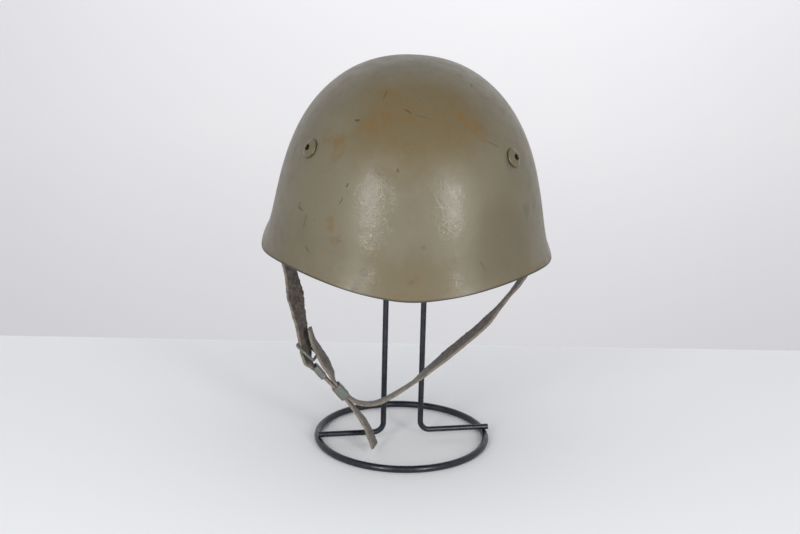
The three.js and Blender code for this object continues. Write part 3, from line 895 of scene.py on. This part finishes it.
def fibre_tree():
    """Tree that covers a strap in short raised fibres, from a fixed seed."""
    shaper = Shaper("raised_fibres", Density=500000.0, Length=0.0009, Thickness=0.00009, Seed=4)
    strap = shaper.input("Geometry")
    seed = shaper.input("Seed")
    outer = shaper.term("GeometryNodeInputNamedAttribute", Name="outer")
    density = shaper.input("Density") * (1.1 - outer)
    values = {"Mesh": strap, "Density": density, "Seed": seed}
    spread = shaper.node("GeometryNodeDistributePointsOnFaces", None, values)
    fibre = shaper.term(
        "GeometryNodeMeshCone", "Mesh", {"fill_type": "NONE"}, Vertices=3, Radius_Top=0.0,
        Radius_Bottom=shaper.input("Thickness"), Depth=shaper.input("Length"),
    )
    swing = shaper.term(
        "FunctionNodeRandomValue", 0, {"data_type": "FLOAT_VECTOR"}, Min=(-1.1, -1.1, -3.1),
        Max=(1.1, 1.1, 3.1), Seed=seed,
    )
    turn = shaper.term(
        "FunctionNodeRotateRotation", 0, {"rotation_space": "LOCAL"},
        Rotation=Term(shaper, spread.outputs["Rotation"]),
        Rotate_By=shaper.term("FunctionNodeEulerToRotation", Euler=swing),
    )
    size = shaper.term("FunctionNodeRandomValue", 1, {"data_type": "FLOAT"}, Seed=seed + 1)
    hairs = shaper.term(
        "GeometryNodeInstanceOnPoints", Points=Term(shaper, spread.outputs["Points"]),
        Instance=fibre, Rotation=turn, Scale=shaper.vector(0.8, 0.8, size + 0.3),
    )
    hairs = shaper.term("GeometryNodeRealizeInstances", Geometry=hairs)
    return shaper.finish(shaper.join(strap, shaper.store(hairs, "fibre", 1.0)))


def leather_material():
    """Dark suede with a light pile, a pale cut edge and a smoother outer face."""
    looks = Looks("strap_leather", "leather_face")
    where = looks.where
    outer = looks.attribute("outer")
    pile = looks.noise(where, 330.0, 5.0, 0.7)
    blotch = looks.noise(where, 55.0, 4.0, 0.6)
    fine = looks.noise(where, 1400.0, 3.0, 0.7)
    patches = looks.noise(where, 170.0, 4.0, 0.65)
    looks.coat(looks.rise(pile, 0.38, 0.68), "leather_pile")
    looks.coat(looks.rise(patches, 0.5, 0.66) * 0.6, (46, 41, 38))
    looks.coat(looks.rise(blotch, 0.48, 0.36) * 0.4, (124, 112, 98))
    grain = looks.mix(looks.rise(blotch, 0.4, 0.7) * 0.5, "leather_grain", (62, 60, 54))
    looks.coat(outer, grain)
    layers = looks.mix(looks.rise(pile, 0.35, 0.7) * 0.6, "leather_edge", (112, 103, 98))
    layers = looks.mix(looks.rise(patches, 0.5, 0.62) * 0.55, layers, (70, 62, 56))
    looks.coat(looks.attribute("edge"), layers)
    # Reddish patches and pale specks
    looks.coat(looks.cloud(120.0, 2.0, 0.68, 0.76) * 0.6, (104, 62, 46))
    looks.coat(looks.cloud(700.0, 1.0, 0.7, 0.78) * 0.6, (176, 166, 156))
    looks.coat(looks.attribute("fibre") * 0.5, "leather_pile")
    return looks.finish(
        Roughness=0.95 - outer * 0.3, Sheen_Weight=0.25,
        Normal=looks.bump(pile * 0.7 + fine * 0.3, 0.0006, 0.7),
    )


def fitting_material():
    """Grey-green paint, chipped and lightly rusted at the edges."""
    looks = Looks("fitting_paint", "fitting")
    wear = looks.noise(looks.where, 260.0, 5.0, 0.65)
    fine = looks.noise(looks.where, 1300.0, 3.0, 0.6)
    chips = looks.rise(wear + fine * 0.25, 0.72, 0.78)
    looks.coat(looks.rise(wear, 0.35, 0.65) * 0.6, (86, 86, 78))
    looks.coat(chips * 0.7, (148, 142, 128))
    looks.coat(looks.cloud(420.0, 2.0, 0.66, 0.74) * 0.6, (88, 66, 44))
    return looks.finish(
        Roughness=wear * 0.25 + 0.35, Metallic=chips * 0.5,
        Normal=looks.bump(wear * 0.6 + fine * 0.2, 0.0003, 0.6),
    )


def sleeve_piece(name, line, station, span, layers, material):
    """A sheet-metal sleeve round the strap, with rolled ends and soft corners."""
    sizes = bpy.context.scene.helmet_sizes
    layer = sizes.strap_thickness / MM + SLEEVE_LOOSENESS
    centre, along, front, inward = line.frame(station)
    middle = centre + inward * (layers - 1) * layer / 2
    half_wide = sizes.strap_width / MM / 2 + SLEEVE_LOOSENESS
    half_thick = (layers * layer + SLEEVE_LOOSENESS) / 2
    inner = rounded_rectangle(half_wide, half_thick, 0.5, 5, 16, 4)
    half_wide += SLEEVE_WALL
    half_thick += SLEEVE_WALL
    outer = rounded_rectangle(half_wide, half_thick, 1.5, 5, 16, 4)
    half = span / 2
    lengthways = list(np.linspace(SLEEVE_ROLL - half, half - SLEEVE_ROLL, 12))
    rolled = ((0.08, half - 0.1), (0.3, half), (0.7, half), (0.92, half - 0.1))
    # Each row has its share of the way from the inner to the outer loop and its place
    rows = [(0.0, place) for place in reversed(lengthways)]
    rows += [(share, -place) for share, place in rolled]
    rows += [(1.0, place) for place in lengthways]
    rows += reversed(rolled)
    points = []
    for share, place in rows:
        for wide, deep in inner * (1 - share) + outer * share:
            dent = 0.12 * math.sin(wide * 0.5 + place * 0.7) * share
            points.append((middle + front * wide + inward * (deep + dent) + along * place) * MM)
    faces = grid_faces(len(rows), len(inner), closed_rows=True)
    return facing_out(mesh_piece(name, points, faces, material))


def wire_tree():
    """Tree that sweeps a round wire along an edge path."""
    shaper = Shaper("round_wire", Wire_Radius=0.0024, Sides=24)
    size = {"Resolution": shaper.input("Sides"), "Radius": shaper.input("Wire Radius")}
    swept = shaper.term(
        "GeometryNodeCurveToMesh",
        Curve=shaper.term("GeometryNodeMeshToCurve", Mesh=shaper.input("Geometry")),
        Profile_Curve=shaper.term("GeometryNodeCurvePrimitiveCircle", "Curve", **size),
        Fill_Caps=True,
    )
    return shaper.finish(swept)


def wire_piece(name, path, diameter, closed, material):
    """A wire along a path given in mm."""
    last = len(path) - 1
    edges = [(k, k + 1) for k in range(last)]
    if closed:
        edges.append((last, 0))
    thing = mesh_piece(name, np.array(path) * MM, [], edges=edges)
    grown(thing, wire_tree(), Wire_Radius=diameter / 2, Sides=WIRE_SIDES, Material=material)
    return facing_out(thing)


def buckle_piece(name, line, material):
    """The wire frame of the buckle, bent round with soft corners."""
    centre, along, front, inward = line.frame(BUCKLE["station"])
    slant = math.radians(BUCKLE["slant"])
    lengthways = along * math.cos(slant) + inward * math.sin(slant)
    wire = BUCKLE["wire"]
    half_wide = (BUCKLE["window"] + wire) / 2
    half_long = (BUCKLE["length"] - wire) / 2
    loop = rounded_rectangle(half_wide, half_long, BUCKLE["corner"], 8, 12, 12)
    path = [centre + front * wide + lengthways * deep for wide, deep in loop]
    return wire_piece(name, path, wire * MM, True, material)


def stand_material():
    """Blue-black gloss paint over wire, with fine dust and small chips."""
    looks = Looks("stand_paint", "stand")
    dust = looks.noise(looks.where, 150.0, 4.0, 0.6)
    fine = looks.noise(looks.where, 900.0, 2.0, 0.6)
    looks.coat(looks.rise(dust, 0.45, 0.75) * 0.35, (50, 54, 62))
    looks.coat(looks.rise(fine, 0.7, 0.78) * 0.3, (96, 98, 102))
    return looks.finish(
        Roughness=looks.rise(dust, 0.3, 0.8) * 0.2 + 0.24, Specular_IOR_Level=0.45,
        Normal=looks.bump(dust * 0.8 + fine * 0.1, 0.0003, 0.35),
    )


def ring_path(centre, radius, height):
    """A level ring."""
    return [(*point, height) for point in arc(centre, radius, 0, 360, 180)[:-1]]


def stand_wire_path(side, foot_reach, foot_height, spoke_height):
    """Foot, upright and spoke of one bent wire, in its upright plane."""
    turn = WIRE_SPREAD + WIRE_BEND
    low = foot_height + WIRE_BEND
    top = spoke_height - WIRE_BEND
    route = [(foot_reach + (turn - foot_reach) * k / 24, foot_height) for k in range(24)]
    route += arc((turn, low), WIRE_BEND, -90, -180, 16)
    route += [(WIRE_SPREAD, low + (top - low) * k / 60) for k in range(1, 60)]
    route += arc((turn, top), WIRE_BEND, 180, 90, 16)
    route += [(turn + (SPOKE_REACH - turn) * k / 10, spoke_height) for k in range(1, 11)]
    ahead_x = math.cos(WIRES_HEADING) * side
    ahead_y = math.sin(WIRES_HEADING) * side
    x, y = WIRES_CENTRE
    return [(x + ahead_x * reach, y + ahead_y * reach, height) for reach, height in route]


class HELMET_OT_shell(bpy.types.Operator):
    """Builds the pressed steel shell"""

    bl_idname = "helmet.shell"
    bl_label = "Build shell"

    def execute(self, context):
        sizes = context.scene.helmet_sizes
        shell = grown(
            mesh_piece("shell", [(0, 0, 0)], []), shell_tree(), Half_Width=sizes.half_width,
            Front_Reach=sizes.front_reach, Back_Reach=sizes.back_reach, Height=sizes.height,
            Wall=sizes.wall, Rows=sizes.shell_rows, Columns=sizes.shell_columns,
            Material=shell_material(),
        )
        settle(facing_out(shell), "shell_paint", "helmet_shell")
        return {"FINISHED"}


class HELMET_OT_rivets(bpy.types.Operator):
    """Builds the three domed vent rivets"""

    bl_idname = "helmet.rivets"
    bl_label = "Build vent rivets"

    def execute(self, context):
        material = rivet_material()
        tree = seat_tree()
        points = []
        lip_shade_and_wear = []
        # A ring's third value is painted shade in the hole and under the head, with some worn
        # metal
        for radius, height, wear in rivet_profile():
            loop = arc((0, 0), radius, 0, 360, RIVET_SIDES)[:-1]
            points += [(x * MM, y * MM, height * MM) for x, y in loop]
            lip_shade_and_wear += [wear] * RIVET_SIDES
        faces = grid_faces(len(points) // RIVET_SIDES, RIVET_SIDES, closed_rows=True)
        for node, degrees in RIVET_SITES.items():
            rivet = mesh_piece(node + "_look", points, faces, None, {"lip_shade_and_wear": lip_shade_and_wear})
            place, facing = shell_seat(degrees, RIVET_LEVEL)
            grown(rivet, tree, Place=place, Facing=facing, Material=material)
            settle(facing_out(rivet), "rivet_metal", node)
        return {"FINISHED"}


class HELMET_OT_straps(bpy.types.Operator):
    """Builds both leather strap halves with their raised fibres"""

    bl_idname = "helmet.straps"
    bl_label = "Build chin strap"

    def execute(self, context):
        material = leather_material()
        tree = fibre_tree()
        lines = strap_lines()
        bowed = [list(station) for station in BUCKLE_HALF]
        for station, shift in BUCKLE_BOW.items():
            for axis in range(4):
                bowed[station][axis] += shift[axis]
        lines["buckle"] = StrapLine(bowed)
        for (half, line), seed in zip(lines.items(), (5, 11)):
            strap = strap_piece(f"{half}_strap", line, seed, material)
            grown(strap, tree, Seed=seed, Material=material)
            settle(strap, "strap_leather", f"chin_strap_{half}_half")
        return {"FINISHED"}


class HELMET_OT_fittings(bpy.types.Operator):
    """Builds the strap's sleeves, keepers and buckle"""

    bl_idname = "helmet.fittings"
    bl_label = "Build strap fittings"

    def execute(self, context):
        material = fitting_material()
        lines = strap_lines()
        for node, (half, station, span, layers) in SLEEVES.items():
            sleeve = sleeve_piece(node + "_look", lines[half], station, span, layers, material)
            settle(sleeve, "fitting_paint", node)
        buckle = buckle_piece("buckle_look", lines["buckle"], material)
        settle(buckle, "fitting_paint", "strap_buckle")
        return {"FINISHED"}


class HELMET_OT_stand(bpy.types.Operator):
    """Builds the wire stand"""

    bl_idname = "helmet.stand"
    bl_label = "Build stand"

    def execute(self, context):
        sizes = context.scene.helmet_sizes
        material = stand_material()
        low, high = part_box("stand_top_ring")
        rings = (
            ("base", STAND_CENTRE, sizes.base_ring, sizes.base_wire, sizes.base_wire / 2),
            ("top", WIRES_CENTRE, sizes.top_ring, sizes.stand_wire, (low.z + high.z) / 2),
        )
        for name, centre, radius, wire, height in rings:
            path = ring_path(centre, radius / MM, height / MM)
            ring = wire_piece(f"{name}_ring_look", path, wire, True, material)
            settle(ring, "stand_paint", f"stand_{name}_ring")
        radius = sizes.stand_wire / 2
        for side, node in ((-1, "left"), (1, "right")):
            low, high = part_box(f"stand_wire_{node}")
            foot_height = (low.z + radius) / MM
            spoke_height = (high.z - radius) / MM
            path = stand_wire_path(side, FOOT_REACH[node], foot_height, spoke_height)
            wire = wire_piece(f"{node}_wire_look", path, sizes.stand_wire, False, material)
            settle(wire, "stand_paint", f"stand_wire_{node}")
        return {"FINISHED"}


def soft_box(name, place, aim, width, height, power):
    """A rectangular soft light that faces a point."""
    light = bpy.data.lights.new(name, "AREA")
    light.shape = "RECTANGLE"
    light.size = width
    light.size_y = height
    light.energy = power
    thing = bpy.data.objects.new(name, light)
    bpy.context.scene.collection.objects.link(thing)
    thing.location = place
    thing.rotation_euler = (Vector(aim) - Vector(place)).to_track_quat("-Z", "Y").to_euler()


def board(name, low, high, other_tone):
    """A plain board of the stage between two corners, clouded with a second pale tone."""
    looks = Looks(f"stage_{name}", name)
    looks.coat(looks.noise(looks.where, 3.0, 3.0, 0.5), other_tone)
    fine = looks.noise(looks.where, 300.0, 2.0, 0.5)
    material = looks.finish(Roughness=fine * 0.1 + 0.75, Normal=looks.bump(fine, 0.0002, 0.3))
    points = (low, (high[0], *low[1:]), high, (low[0], *high[1:]))
    return mesh_piece(name, points, [(0, 1, 2, 3)], material)


class HELMET_OT_stage(bpy.types.Operator):
    """Builds the floor, the backdrop, the lights and the camera"""

    bl_idname = "helmet.stage"
    bl_label = "Build stage"

    def execute(self, context):
        scene = context.scene
        low, high = (-STAGE_WIDE, STAGE_FRONT, 0), (STAGE_WIDE, FLOOR_END, 0)
        floor = board("floor", low, high, (237, 238, 239))
        low, high = (-STAGE_WIDE, WALL_PLACE, WALL_FOOT), (STAGE_WIDE, WALL_PLACE, WALL_TOP)
        wall = board("backdrop", low, high, (226, 225, 227))
        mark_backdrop(floor, wall)
        aim = (0, -0.02, 0.2)
        soft_box("soft_box_left", (-0.69, -1.45, 0.56), aim, 0.3, 1.0, 11.5)
        soft_box("soft_box_right", (0.78, -1.45, 0.54), aim, 0.3, 1.0, 11.5)
        soft_box("wash", (0.3, 0.9, 1.0), (0.25, WALL_PLACE, 0.1), 1.6, 0.5, 11)
        world = bpy.data.worlds.new("studio")
        world.use_nodes = True
        background = world.node_tree.nodes["Background"]
        background.inputs["Color"].default_value = (0.96, 0.97, 1.0, 1.0)
        background.inputs["Strength"].default_value = 0.71
        scene.world = world
        scene.view_settings.view_transform = "Standard"
        camera = bpy.data.cameras.new("camera")
        camera.lens = CAMERA_LENS
        camera.sensor_width = 36
        camera.clip_start = 0.01
        thing = bpy.data.objects.new("camera", camera)
        turn = Matrix((CAMERA_RIGHT, CAMERA_UP, CAMERA_BACK)).transposed()
        thing.matrix_world = Matrix.Translation(CAMERA_PLACE) @ turn.to_4x4()
        scene.collection.objects.link(thing)
        scene.camera = thing
        return {"FINISHED"}


OPERATORS = (
    HELMET_OT_shell,
    HELMET_OT_rivets,
    HELMET_OT_straps,
    HELMET_OT_fittings,
    HELMET_OT_stand,
    HELMET_OT_stage,
)


class HELMET_PT_pieces(bpy.types.Panel):
    """Lists the helmet's sizes and colours and what builds each piece"""

    bl_idname = "HELMET_PT_pieces"
    bl_label = "Steel helmet"
    bl_space_type = "VIEW_3D"
    bl_region_type = "UI"
    bl_category = "Helmet"

    def draw(self, context):
        for group in (context.scene.helmet_sizes, context.scene.helmet_colours):
            box = self.layout.box()
            for name in group.__annotations__:
                box.prop(group, name)
        for operator in OPERATORS:
            self.layout.operator(operator.bl_idname)


CLASSES = (HelmetSizes, HelmetColours, *OPERATORS, HELMET_PT_pieces)


def register():
    for kind in CLASSES:
        bpy.utils.register_class(kind)
    bpy.types.Scene.helmet_sizes = PointerProperty(type=HelmetSizes)
    bpy.types.Scene.helmet_colours = PointerProperty(type=HelmetColours)


def unregister():
    del bpy.types.Scene.helmet_colours
    del bpy.types.Scene.helmet_sizes
    for kind in reversed(CLASSES):
        bpy.utils.unregister_class(kind)


def corners():
    """The shown object's lowest and highest corner as plain lists."""
    low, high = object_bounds()
    return [list(low), list(high)]


def main():
    """Builds every piece in order."""
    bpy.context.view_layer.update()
    register()
    for operator in OPERATORS:
        group, name = operator.bl_idname.split(".")
        getattr(getattr(bpy.ops, group), name)()


if __name__ == "__main__":
    main()
